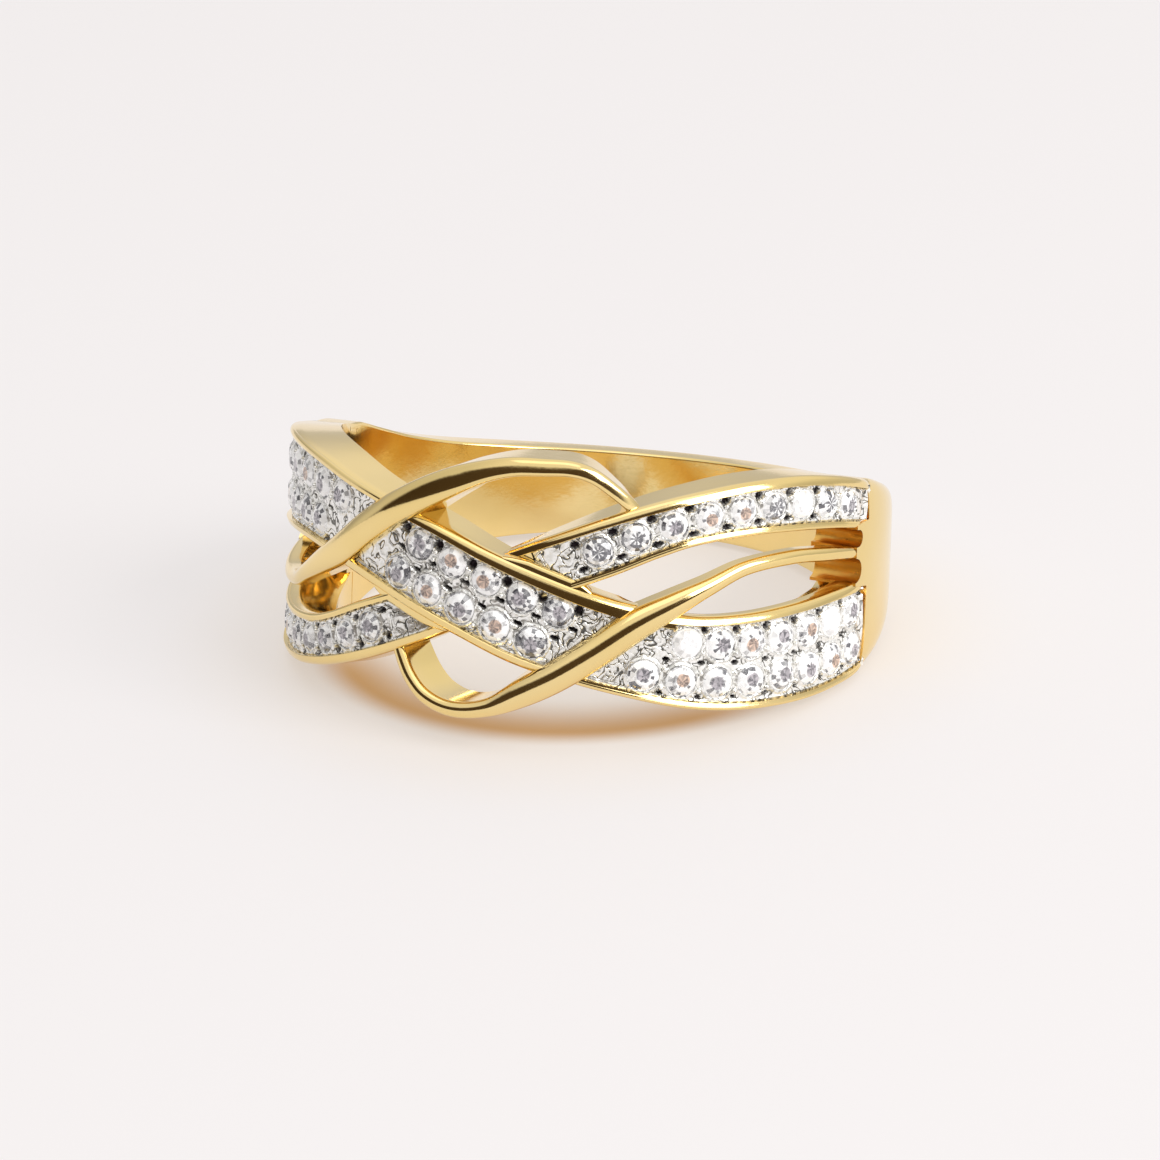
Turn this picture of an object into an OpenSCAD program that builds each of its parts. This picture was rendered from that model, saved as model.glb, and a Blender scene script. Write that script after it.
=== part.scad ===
// A crossover ring in yellow gold, lying on its side as it rests by itself.
// A wide ribbon with two rows of stones falls from the upper left to the lower right.
// A narrow ribbon with one row of stones rises under it from the lower left.
// Two plain bands run between the ribbons, cross over the wide one and turn into loops.
// Angles go round the finger hole from the middle of the front, and grow towards +X.

/* [Ring] */
// Diameter of the finger hole
bore_d = 17.3; // [15.7:0.1:19.8]
// Wall of the head, from the finger hole to the rails
head_wall = 1.75; // [1.6:0.05:2.1]
// Wall of the shank at the back
shank_wall = 1.3; // [1.1:0.05:1.6]
// Height of the head, across both ribbons
head_h = 7.9; // [7.4:0.1:8.6]
// Height of the shank at the back
shank_h = 2.9; // [2.4:0.1:3.6]
// Angle at which the ribbons end and the plain shank begins
shoulder_a = 84; // [82:0.5:86]

/* [Ribbons] */
// Width of the wide ribbon, with its rails
wide_w = 3.3; // [3.2:0.05:3.5]
// Width of the narrow ribbon, with its rails
narrow_w = 1.85; // [1.8:0.05:2.1]
// Width of the gold rail along each edge of a ribbon
rail_w = 0.25; // [0.2:0.01:0.28]
// Depth of the trough between the rails
trough_d = 0.8; // [0.75:0.05:1]
// Wall left around the slots, where the head is hollowed from the finger side
slot_wall = 0.75; // [0.65:0.05:1]
// How far the bed of a pave plate lies below the rails
bed_drop = 0.14; // [0.08:0.02:0.2]

/* [Bands] */
// Width of a plain band where it crosses the wide ribbon
band_w = 1.12; // [0.9:0.02:1.2]
// How far a band stands proud of the rails where it crosses
band_rise = 0.4; // [0.2:0.05:0.6]
// Reach of the upper loop above the middle of the head
upper_loop_h = 4.5; // [4.3:0.05:4.8]
// Reach of the lower loop below the middle of the head
lower_loop_h = 3.95; // [3.85:0.05:4.3]

/* [Stones] */
// Diameter of the stones in the double rows
stone_d = 1.08; // [0.95:0.01:1.12]
// Diameter of the stones in the single rows
row_stone_d = 1; // [0.9:0.01:1.04]
// Distance between stones along a row
stone_pitch = 1.27; // [1.23:0.01:1.3]
// Distance between the two rows of the wide ribbon
row_gap = 1.3; // [1.24:0.02:1.34]
// Height of a stone's crown
crown_h = 0.17; // [0.12:0.01:0.2]
// Depth of a stone's pavilion
pavilion_h = 0.45; // [0.38:0.01:0.48]
// Gap around a plate in its trough and a stone in its seat
fit_gap = 0.03; // [0.02:0.005:0.04]

/* [Hidden] */

gold = "gold";
white_gold = "gainsboro";
stone_colour = "azure";

bore_r = bore_d / 2;
head_r = bore_r + head_wall;
half_h = head_h / 2;
degree = head_r * PI / 180;
shank_proud = 0.03;
shank_round = 0.5;
girdle_h = 0.03;
girdle_sides = 16;
table_share = 0.56;
culet_hole_share = 0.3;
pitch_a = stone_pitch / degree;
trough_end = shoulder_a + 2.5;
ribbon_end = shoulder_a + 8;
strand_steps = 2;
least_step = 0.5;
hollow_flare = 0.45;
hollow_inset = 0.04;
pilot_allowance = 0.1;
solder_lap = 0.02;
pilot_turn = 0.7;
outside = 1;
strand_foot = 0.35;
rail_shoulder = 0.3;
dome_share = 0.45;
dome_step = 30;
girdle_drop = 0.01;
row_end_wall = 0.08;
bore_sides = 180;
seat_sides = 32;

// Where the plates start, and where their rows of stones start.
narrow_from = 9;
wing_from = 12;
panel_end = 32;
wide_lower_row = 33.4;
wide_upper_row = 40.4;
narrow_row = 23.4;
panel_stagger = 0.19;

// Where the line is read along which the lower band crosses the wide ribbon.
crossing_from = 10;
crossing_to = 42;
crossing_step = 4;

// The walls are cut back to the finger hole afterwards, so each strand starts a little inside it.
inner = bore_r - strand_foot;

// Tables of sections. The first column is the angle.
// Wide ribbon: angle, level as a share of half the head, width as a share of wide_w, dip.
wide_half = [
    [0, 0, 0.95, 0],
    [10, -0.168, 0.96, 0],
    [20, -0.31, 0.93, 0],
    [30, -0.425, 0.92, 0],
    [42, -0.522, 0.96, 0],
    [53, -0.546, 1, 0],
    [65, -0.522, 1.03, 0],
    [75, -0.478, 1.02, 0],
    [shoulder_a, -0.43, 0.98, 0.02],
    [ribbon_end, -0.39, 0.94, 0.45],
];
// Narrow ribbon: the same columns. It dips under the wide one at the middle of the front.
narrow_half = [
    [0, 0, 1.02, 0.6],
    [8, 0.152, 1.04, 0.5],
    [16, 0.306, 1.06, 0.12],
    [25, 0.468, 1.06, 0],
    [33, 0.6, 1, 0],
    [41, 0.698, 0.96, 0],
    [52, 0.764, 0.99, 0],
    [64, 0.768, 1.01, 0],
    [75, 0.718, 0.97, 0],
    [shoulder_a, 0.645, 0.92, 0.02],
    [ribbon_end, 0.575, 0.86, 0.45],
];
// Bands: angle, share of half the head, share of the loop's reach, share of band_w,
// share of band_rise.
upper_band = [
    [-ribbon_end, -0.17, 0, 0.38, -0.2],
    [-82, -0.235, 0, 0.4, 0],
    [-73, -0.285, 0, 0.43, 0.1],
    [-63, -0.316, 0, 0.45, 0.15],
    [-52, -0.268, 0, 0.46, 0.3],
    [-44, -0.127, 0, 0.55, 0.7],
    [-38, 0.01, 0, 0.76, 0.9],
    [-31, 0.19, 0, 0.98, 1],
    [-23, 0.46, 0, 1.02, 1],
    [-14, 0, 0.635, 1.02, 0.95],
    [-6, 0, 0.805, 0.9, 0.8],
    [1, 0, 0.922, 0.68, 0.65],
    [7, 0, 0.985, 0.56, 0.6],
    [13, 0, 1, 0.5, 0.6],
    [18, 0, 0.998, 0.46, 0.5],
    [22, 0, 0.95, 0.43, 0.3],
    [26, 0, 0.84, 0.41, 0],
    [29, 0, 0.74, 0.4, -0.3],
    [32, 0, 0.62, 0.36, -0.8],
];
lower_band = [
    [-18.5, 0, -0.44, 0.4, -0.8],
    [-16, 0, -0.61, 0.43, -0.3],
    [-13, 0, -0.79, 0.45, 0.1],
    [-9, 0, -0.93, 0.47, 0.4],
    [-3, 0, -1, 0.49, 0.6],
    [4, 0, -0.95, 0.56, 0.65],
    [10, 0, -0.81, 0.85, 0.8],
    [16, -0.655, 0, 0.95, 0.95],
    [23, -0.44, 0, 1, 1],
    [31, -0.18, 0, 0.98, 1],
    [38, -0.005, 0, 0.76, 0.9],
    [44, 0.127, 0, 0.55, 0.7],
    [52, 0.268, 0, 0.46, 0.3],
    [63, 0.316, 0, 0.45, 0.15],
    [73, 0.285, 0, 0.43, 0.1],
    [82, 0.235, 0, 0.4, 0],
    [ribbon_end, 0.17, 0, 0.38, -0.2],
];
// Right half of the shank: angle, share of the way from the head's height to the shank's,
// share of the way from the head's wall to the shank's.
shank_half = [
    [shoulder_a, 0.228, 0],
    [90, 0.275, 0],
    [100, 0.45, 0.05],
    [112, 0.66, 0.15],
    [126, 0.83, 0.4],
    [145, 0.94, 0.75],
    [165, 0.99, 0.96],
    [180, 1, 1],
];
// Rounding of the shank's edge: share of half its width, share of shank_round.
shank_rim = [
    [1, 1],
    [0.96, 0.44],
    [0.82, 0.12],
    [0.5, 0],
];
// Hollow behind the slots: angle, share of its depth.
hollow_half = [
    [26, 0],
    [34, 1],
    [shoulder_a - 1, 1],
    [ribbon_end - 1, 0],
];

// A table's half turned about the middle of the front, as the ring is.
function turned(rows) = [for (i = [len(rows) - 1 : -1 : 1]) [for (c = [0 : len(rows[i]) - 1])
    c < 2 ? -rows[i][c] : rows[i][c]]];
wide_rows = concat(turned(wide_half), wide_half);
narrow_rows = concat(turned(narrow_half), narrow_half);
shank_rows = concat(shank_half, [for (i = [len(shank_half) - 2 : -1 : 0])
    [360 - shank_half[i][0], shank_half[i][1], shank_half[i][2]]]);

// A smooth curve through the rows of a table, read at an angle.
function row_index(rows, a) =
    max([for (i = [0 : len(rows) - 2]) if (i == 0 || rows[i][0] <= a) i]);
function row_slope(rows, i) =
    let (lo = max(i - 1, 0), hi = min(i + 1, len(rows) - 1))
    (rows[hi] - rows[lo]) / (rows[hi][0] - rows[lo][0]);
function row_at(rows, a) =
    let (
        i = row_index(rows, a),
        span = rows[i + 1][0] - rows[i][0],
        t = (a - rows[i][0]) / span,
        u = 1 - t
    )
    rows[i] * (1 + 2 * t) * u * u + rows[i + 1] * (3 - 2 * t) * t * t
    + row_slope(rows, i) * span * t * u * u - row_slope(rows, i + 1) * span * u * t * t;

// Height of a strand's middle line, with the reach of the loop that it belongs to.
function level(rows, a, reach) =
    let (r = row_at(rows, a))
    r[1] * half_h + (reach == 0 ? 0 : r[2] * reach);
// Lean of the middle line against the ring's plane.
function lean(rows, a, reach) =
    atan((level(rows, a + 0.2, reach) - level(rows, a - 0.2, reach)) / (0.4 * degree));
// Angle and height of a point at a distance v across the strand.
function across(rows, a, reach, v) =
    let (l = lean(rows, a, reach))
    [a - v * sin(l) / degree, level(rows, a, reach) + v * cos(l)];
function on_ring(spot, r) = [r * sin(spot[0]), -r * cos(spot[0]), spot[1]];

// Angles at which a strand is cut into sections, between two ends. The phase sets the
// sections of a trough between those of its ribbon.
function stations(rows, from, to, phase) = concat([from],
    [for (i = [0 : len(rows) - 2], s = [0 : strand_steps - 1])
        let (a = rows[i][0] + (rows[i + 1][0] - rows[i][0]) * (s + phase) / strand_steps)
        if (a > from + least_step && a < to - least_step) a], [to]);

// Profiles across a strand: pairs of distance across and radius.
function ribbon_profile(w, top, grow, base) =
    let (h = w / 2 + grow, c = rail_w / 2)
    [[-h, base], [-h, top - c], [-h + rail_shoulder * c, top - rail_shoulder * c], [-h + c, top + grow],
        [h - c, top + grow], [h - rail_shoulder * c, top - rail_shoulder * c], [h, top - c], [h, base]];
function band_profile(w, top, grow, base) =
    let (h = w / 2 + grow, dome = dome_share * w + grow, shoulder = top + grow - dome)
    concat([[-h, base]], [for (q = [180 : -dome_step : 0]) [h * cos(q), shoulder + dome * sin(q)]],
        [[h, base]]);
function slab_profile(w, low, high) = [[-w / 2, low], [-w / 2, high], [w / 2, high], [w / 2, low]];
function shank_profile(w, top) =
    let (last = len(shank_rim) - 1)
    concat([[-w / 2, inner]],
        [for (i = [0 : last]) [-shank_rim[i][0] * w / 2, top - shank_rim[i][1] * shank_round]],
        [for (i = [last : -1 : 0]) [shank_rim[i][0] * w / 2, top - shank_rim[i][1] * shank_round]],
        [[w / 2, inner]]);

// Sections of each strand, as rings of points.
function ribbon_sections(rows, w, from, to, grow, base) =
    [for (a = stations(rows, from, to, 0)) let (r = row_at(rows, a))
        [for (p = ribbon_profile(w * r[2], head_r - r[3], grow, base))
            on_ring(across(rows, a, 0, p[0]), p[1])]];
function band_sections(rows, reach, grow, base) =
    [for (a = stations(rows, rows[0][0], rows[len(rows) - 1][0], 0)) let (r = row_at(rows, a))
        [for (p = band_profile(band_w * r[3], head_r + band_rise * r[4], grow, base))
            on_ring(across(rows, a, reach, p[0]), p[1])]];
function trough_sections(rows, w, from, to, gap, high) =
    [for (a = stations(rows, from, to, 0.5)) let (r = row_at(rows, a))
        [for (p = slab_profile(w * r[2] - 2 * rail_w - 2 * gap, head_r - trough_d + gap, high))
            on_ring(across(rows, a, 0, p[0]), p[1])]];
function shank_sections() =
    [for (a = stations(shank_rows, shoulder_a, 360 - shoulder_a, 0)) let (r = row_at(shank_rows, a))
        [for (p = shank_profile(head_h + (shank_h - head_h) * r[1],
                head_r + shank_proud + (shank_wall - head_wall) * r[2]))
            on_ring([a, p[0]], p[1])]];

// The hollow lies between the ribbons' inner edges, and widens towards the finger.
function slot_low(a) = let (r = row_at(wide_rows, a)) r[1] * half_h + r[2] * wide_w / 2;
function slot_high(a) = let (r = row_at(narrow_rows, a)) r[1] * half_h - r[2] * narrow_w / 2;
function hollow_sections() =
    [for (a = stations(hollow_half, hollow_half[0][0], ribbon_end - 1, 0))
        let (
            low = slot_low(a) + hollow_inset,
            high = slot_high(a) - hollow_inset,
            share = row_at(hollow_half, a)[1],
            top = inner + (head_r - slot_wall - inner) * share,
            flare = (top - inner) * hollow_flare
        )
        [for (p = [[low - flare, inner - outside], [low, top], [high, top], [high + flare, inner - outside]])
            on_ring([a, p[0]], p[1])]];

// The resting pose: the ring leans back from the ribbons' lower edges until the heel of
// the shank meets the table too.
function clear_of_bore(p) =
    let (r = norm([p[0], p[1]]), k = max(r, bore_r) / r)
    [p[0] * k, p[1] * k, p[2]];
skin_points = [for (sections = [
        ribbon_sections(wide_rows, wide_w, -ribbon_end, ribbon_end, 0, bore_r),
        ribbon_sections(narrow_rows, narrow_w, -ribbon_end, ribbon_end, 0, bore_r),
        band_sections(upper_band, upper_loop_h, 0, bore_r),
        band_sections(lower_band, lower_loop_h, 0, bore_r),
        shank_sections()], ring = sections, p = ring) clear_of_bore(p)];
heel = [0, head_r + shank_proud + shank_wall - head_wall - shank_round, -shank_h / 2];
tilt = max([for (p = skin_points) if (p[1] < 0) atan((heel[2] - p[2]) / (heel[1] - p[1]))]);
function leaned(p) = [p[0], p[1] * cos(tilt) + p[2] * sin(tilt), p[2] * cos(tilt) - p[1] * sin(tilt)];
leaned_points = [for (p = skin_points) leaned(p)];
lift = -min([for (p = leaned_points) p[2]]);
centre_y = (min([for (p = leaned_points) p[1]]) + max([for (p = leaned_points) p[1]])) / 2;

module resting() {
    translate([0, -centre_y, lift]) rotate([-tilt, 0, 0]) children();
}

// A closed skin over a row of sections with equal numbers of points.
module skin(sections) {
    n = len(sections[0]);
    last = len(sections) - 1;
    polyhedron(
        points = [for (s = sections, p = s) p],
        faces = concat(
            [[for (j = [n - 1 : -1 : 0]) j]],
            [for (i = [0 : last - 1], j = [0 : n - 1]) [i * n + j, i * n + (j + 1) % n, (i + 1) * n + j]],
            [for (i = [0 : last - 1], j = [0 : n - 1])
                [(i + 1) * n + j, i * n + (j + 1) % n, (i + 1) * n + (j + 1) % n]],
            [[for (j = [0 : n - 1]) last * n + j]]));
}

module half_turn() {
    rotate([0, 180, 0]) children();
}

module wide_body(grow) {
    skin(ribbon_sections(wide_rows, wide_w, -ribbon_end, ribbon_end, grow, inner));
}

module narrow_body() {
    skin(ribbon_sections(narrow_rows, narrow_w, -ribbon_end, ribbon_end, 0, inner));
}

module wide_trough() {
    skin(trough_sections(wide_rows, wide_w, -trough_end, trough_end, 0, head_r + outside));
}

module narrow_trough(gap) {
    skin(trough_sections(narrow_rows, narrow_w, narrow_from, trough_end, gap, head_r + outside));
}

module upper_band_body(grow) {
    skin(band_sections(upper_band, upper_loop_h, grow, inner));
}

module lower_band_body(grow) {
    skin(band_sections(lower_band, lower_loop_h, grow, inner));
}

module slot_hollow() {
    skin(hollow_sections());
}

module finger_hole(r) {
    cylinder(h = 4 * half_h, r = r, center = true, $fn = bore_sides);
}

// Metal that is cast and soldered into one body before it is bored.
module soldered() {
    resize([0, 0, 0]) children();
}

// The narrow ribbon with its two troughs, soldered to the shank.
module narrow_and_shank() {
    difference() {
        union() {
            skin(shank_sections());
            narrow_body();
        }
        narrow_trough(0);
        half_turn() narrow_trough(0);
    }
}

// Each loop ends in the rail of the narrow ribbon, short of the ribbon's trough.
module bands() {
    difference() {
        upper_band_body(0);
        narrow_trough(-solder_lap);
    }
    difference() {
        lower_band_body(0);
        half_turn() narrow_trough(-solder_lap);
    }
}

module strands() {
    difference() {
        union() {
            difference() {
                union() {
                    narrow_and_shank();
                    wide_body(0);
                }
                wide_trough();
            }
            bands();
        }
        slot_hollow();
        half_turn() slot_hollow();
        rotate([0, 0, pilot_turn]) finger_hole(bore_r - pilot_allowance);
    }
}

// Shank, ribbons and bands in one solid.
module ring_casting() {
    color(gold) resting() difference() {
        soldered() strands();
        finger_hole(bore_r);
    }
}

// Stones stand on their spot along the radius, with the girdle level with the bed.
girdle_r = head_r - bed_drop - girdle_drop;
module at_spot(spot) {
    rotate([0, 0, spot[0]]) translate([0, -girdle_r, spot[1]]) rotate([90, 0, 0]) children();
}

function panel_spots() = [for (row = [-1, 1], k = [-2 : 2])
    across(wide_rows, (row * panel_stagger + k) * pitch_a, 0, row * row_gap / 2)];

// A row of a wing takes as many stones as fit between its first one and the trough's end.
function row_spots(rows, from, d, v) =
    let (room = trough_end - (d / 2 + fit_gap + row_end_wall) / degree - from)
    [for (k = [0 : floor(room / pitch_a)]) across(rows, from + k * pitch_a, 0, v)];
function wide_spots() = concat(
    row_spots(wide_rows, wide_lower_row, stone_d, -row_gap / 2),
    row_spots(wide_rows, wide_upper_row, stone_d, row_gap / 2));
function narrow_spots() = row_spots(narrow_rows, narrow_row, row_stone_d, 0);

// A round stone: table, crown, thin girdle and pavilion.
module stone(d) {
    n = girdle_sides;
    table_r = table_share * d / 2;
    polyhedron(
        points = concat(
            [for (i = [0 : n / 2 - 1]) [table_r * cos(720 * i / n), table_r * sin(720 * i / n), crown_h]],
            [for (i = [0 : n - 1]) [d / 2 * cos(360 * i / n), d / 2 * sin(360 * i / n), 0]],
            [for (i = [0 : n - 1]) [d / 2 * cos(360 * i / n), d / 2 * sin(360 * i / n), -girdle_h]],
            [[0, 0, -girdle_h - pavilion_h]]),
        faces = concat(
            [[for (i = [n / 2 - 1 : -1 : 0]) i]],
            [for (i = [0 : n / 2 - 1]) [i, (i + 1) % (n / 2), n / 2 + (2 * i + 1) % n]],
            [for (i = [0 : n / 2 - 1]) [i, n / 2 + (2 * i + 1) % n, n / 2 + 2 * i]],
            [for (i = [0 : n / 2 - 1]) [i, n / 2 + 2 * i, n / 2 + (2 * i + n - 1) % n]],
            [for (i = [0 : n - 1]) [n / 2 + i, n / 2 + (i + 1) % n, n / 2 + n + i]],
            [for (i = [0 : n - 1]) [n / 2 + (i + 1) % n, n / 2 + n + (i + 1) % n, n / 2 + n + i]],
            [for (i = [0 : n - 1]) [n / 2 + n + i, n / 2 + n + (i + 1) % n, n / 2 + 2 * n]]));
}

// The seat that is drilled for a stone, open at the back for light.
module seat(d) {
    seat_r = d / 2 + fit_gap;
    hole_r = culet_hole_share * d / 2;
    depth = (pavilion_h + 0.5 * fit_gap) * (seat_r - hole_r) / seat_r;
    rotate_extrude($fn = seat_sides) polygon([[0, crown_h], [seat_r, crown_h], [seat_r, -girdle_h - fit_gap],
        [hole_r, -girdle_h - fit_gap - depth], [hole_r, -trough_d], [0, -trough_d]]);
}

module stones(spots, d) {
    for (s = spots) at_spot(s) stone(d);
}

// A pave plate fills its trough between two angles, is cut short by what crosses it,
// and is drilled for its stones.
module plate(rows, w, from, to, spots, d) {
    difference() {
        skin(trough_sections(rows, w, from, to, fit_gap, head_r - bed_drop));
        children();
        for (s = spots) at_spot(s) seat(d);
    }
}

// Middle line of the lower band where it crosses, seen from the front.
crossing_line = [for (a = [crossing_from : crossing_step : crossing_to]) [head_r * sin(a), level(lower_band, a, lower_loop_h)]];

// Everything in front of the finger hole within an outline seen from the front.
module front_of(outline) {
    rotate([90, 0, 0]) linear_extrude(head_r + outside) polygon(outline);
}

module plate_panel() {
    color(white_gold) resting() intersection() {
        plate(wide_rows, wide_w, -panel_end, panel_end, panel_spots(), stone_d) {
            upper_band_body(fit_gap);
            lower_band_body(fit_gap);
        }
        front_of(concat(crossing_line, [for (p = crossing_line) [-p[0], -p[1]]]));
    }
}

module wide_wing_plate() {
    intersection() {
        plate(wide_rows, wide_w, wing_from, trough_end - fit_gap / degree, wide_spots(), stone_d)
            children();
        front_of(concat(crossing_line, [[head_r + outside, half_h], [head_r + outside, -half_h - outside],
            [crossing_line[0][0], -half_h - outside]]));
    }
}

module narrow_wing_plate() {
    plate(narrow_rows, narrow_w, narrow_from + fit_gap / degree, trough_end - fit_gap / degree,
        narrow_spots(), row_stone_d)
        wide_body(fit_gap);
}

module plate_wide_right() {
    color(white_gold) resting() wide_wing_plate() lower_band_body(fit_gap);
}

module plate_wide_left() {
    color(white_gold) resting() half_turn() wide_wing_plate() half_turn() upper_band_body(fit_gap);
}

module plate_narrow_right() {
    color(white_gold) resting() narrow_wing_plate();
}

module plate_narrow_left() {
    color(white_gold) resting() half_turn() narrow_wing_plate();
}

module stones_panel() {
    color(stone_colour) resting() stones(panel_spots(), stone_d);
}

module stones_wide_right() {
    color(stone_colour) resting() stones(wide_spots(), stone_d);
}

module stones_wide_left() {
    color(stone_colour) resting() half_turn() stones(wide_spots(), stone_d);
}

module stones_narrow_right() {
    color(stone_colour) resting() stones(narrow_spots(), row_stone_d);
}

module stones_narrow_left() {
    color(stone_colour) resting() half_turn() stones(narrow_spots(), row_stone_d);
}

ring_casting();
plate_panel();
plate_wide_right();
plate_wide_left();
plate_narrow_right();
plate_narrow_left();
stones_panel();
stones_wide_right();
stones_wide_left();
stones_narrow_right();
stones_narrow_left();
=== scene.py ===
import math
from collections import namedtuple

import bpy
import numpy as np
from mathutils import Matrix


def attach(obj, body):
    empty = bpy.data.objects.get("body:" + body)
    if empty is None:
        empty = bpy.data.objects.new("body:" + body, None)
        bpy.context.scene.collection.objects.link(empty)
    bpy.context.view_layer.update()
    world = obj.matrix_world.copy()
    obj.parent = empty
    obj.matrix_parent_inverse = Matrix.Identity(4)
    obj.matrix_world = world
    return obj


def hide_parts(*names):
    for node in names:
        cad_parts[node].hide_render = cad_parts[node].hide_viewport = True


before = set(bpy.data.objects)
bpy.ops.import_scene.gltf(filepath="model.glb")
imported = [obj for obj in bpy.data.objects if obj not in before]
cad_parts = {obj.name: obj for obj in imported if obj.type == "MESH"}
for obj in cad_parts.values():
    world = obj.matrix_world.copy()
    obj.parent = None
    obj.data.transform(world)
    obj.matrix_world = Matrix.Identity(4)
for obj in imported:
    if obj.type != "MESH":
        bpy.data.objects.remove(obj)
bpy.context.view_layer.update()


# Shank
# The plain back of the ring, of solid yellow gold, cast in one piece with the ribbons,
# bored to the finger size and polished. Its front ends are the round ends of the slots.
BORE_R = 8.65
HEAD_R = 10.4
HEAD_H = 7.9
HALF_H = HEAD_H / 2
SHOULDER = 84
SHANK_H = 2.9
SHANK_DROP = 0.45
SHANK_PROUD = 0.015
SHANK_INSET = 0.013
SHANK_ROUND = 0.5
ROUND_POWER = 8
BORE_EDGE = 0.1

# The ring is drawn upright, in mm and degrees: its axis is Z, the middle of its front faces
# -Y, and angles grow towards +X. DEGREE is the length of one degree along the head. On the
# table the ring leans back from its ribbons onto the heel of its shank, which the last three
# give. Below, a is an angle, z a height, v a distance across a strand and w its width.
MM = 0.001
DEGREE = HEAD_R * math.pi / 180
TILT = math.radians(11.0767)
LIFT = 3.24431
SHIFT = 0.619765


def lying(points):
    """Points of the upright ring, in mm, where they are on the table, in metres."""
    p = np.asarray(points, float)
    x, y, z = p[..., 0], p[..., 1], p[..., 2]
    c, s = math.cos(TILT), math.sin(TILT)
    return MM * np.stack((x, y * c + z * s + SHIFT, z * c - y * s + LIFT), -1)


# Right half: angle, share of the way from the head's height to the shank's, and from the
# head's wall to the shank's.
SHANK_HALF = np.array([
    (SHOULDER, 0.228, 0), (90, 0.275, 0), (100, 0.45, 0.05), (112, 0.66, 0.15),
    (126, 0.83, 0.4), (145, 0.94, 0.75), (165, 0.99, 0.96), (180, 1, 1)])
SHANK_ROWS = np.vstack((SHANK_HALF, SHANK_HALF[-2::-1] * (-1, 1, 1) + (360, 0, 0)))


def read(rows, angles):
    """A smooth curve through the rows of a table, read at some angles."""
    a = np.atleast_1d(np.asarray(angles, float))
    n = len(rows)
    i = np.clip(np.searchsorted(rows[:, 0], a, side="right") - 1, 0, n - 2)
    before, after = np.maximum(np.arange(n) - 1, 0), np.minimum(np.arange(n) + 1, n - 1)
    slope = (rows[after] - rows[before]) / (rows[after, :1] - rows[before, :1])
    span = (rows[i + 1, 0] - rows[i, 0])[:, None]
    t = (a[:, None] - rows[i, :1]) / span
    u = 1 - t
    return (rows[i] * (1 + 2 * t) * u * u + rows[i + 1] * (3 - 2 * t) * t * t
            + slope[i] * span * t * u * u - slope[i + 1] * span * u * t * t)


def on_ring(angle, z, r):
    """Angle, height and radius, as points of the upright ring."""
    a = np.radians(angle)
    return np.stack((r * np.sin(a), -r * np.cos(a), z + 0 * r), -1)


def add_mesh(name, vertices, faces, finishes, sharp=40):
    """An object with its place in its mesh, smooth but for the edges that are sharp."""
    mesh = bpy.data.meshes.new(name)
    mesh.from_pydata([tuple(v) for v in vertices], [], [tuple(f) for f in faces])
    mesh.update()
    mesh.shade_smooth()
    mesh.set_sharp_from_angle(angle=math.radians(sharp))
    for finish in finishes:
        mesh.materials.append(finish)
    piece = bpy.data.objects.new(name, mesh)
    bpy.context.scene.collection.objects.link(piece)
    return piece


def skin_faces(n, m, paired):
    """Faces of a closed skin over n sections of m points. Each end has one cap, or a row of
    small ones if the second half of a section runs back beside its first half."""
    i, j = np.meshgrid(np.arange(n - 1), np.arange(m), indexing="ij")
    k = (j + 1) % m
    quads = np.stack((i * m + j, i * m + k, (i + 1) * m + k, (i + 1) * m + j), -1).reshape(-1, 4)
    last = (n - 1) * m
    if paired:
        j = np.arange(m // 2 - 1)
        first_caps = np.stack((j + 1, j, m - 1 - j, m - 2 - j), 1)
        last_caps = np.stack((j, j + 1, m - 2 - j, m - 1 - j), 1) + last
        return [tuple(q) for q in np.concatenate((quads, first_caps, last_caps))]
    return [tuple(q) for q in quads] + [tuple(range(m - 1, -1, -1)), tuple(last + np.arange(m))]


def add_skin(name, sections, finish, sharp=40, cap_finish=None):
    """A closed skin over sections of the upright ring, its faces outwards. With a finish for
    the first end, both ends are closed by rows of small caps."""
    paired = cap_finish is not None
    n, m = sections.shape[:2]
    points = lying(sections).reshape(-1, 3)
    faces = skin_faces(n, m, paired)
    sides = np.array(faces[:(n - 1) * m])
    a, b, c, d = (points[sides[:, k]] for k in range(4))
    inside_out = np.einsum("ij,ij->", a + c, np.cross(c - a, d - b)) < 0
    if inside_out:
        faces = [face[::-1] for face in faces]
    piece = add_mesh(name, points, faces, [finish, cap_finish] if paired else [finish], sharp)
    if paired:
        number = np.arange(len(faces)) - len(sides)
        first_end = (number >= 0) & (number < m // 2 - 1)
        piece.data.polygons.foreach_set("material_index", first_end.astype(np.int32))
    return piece


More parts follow.
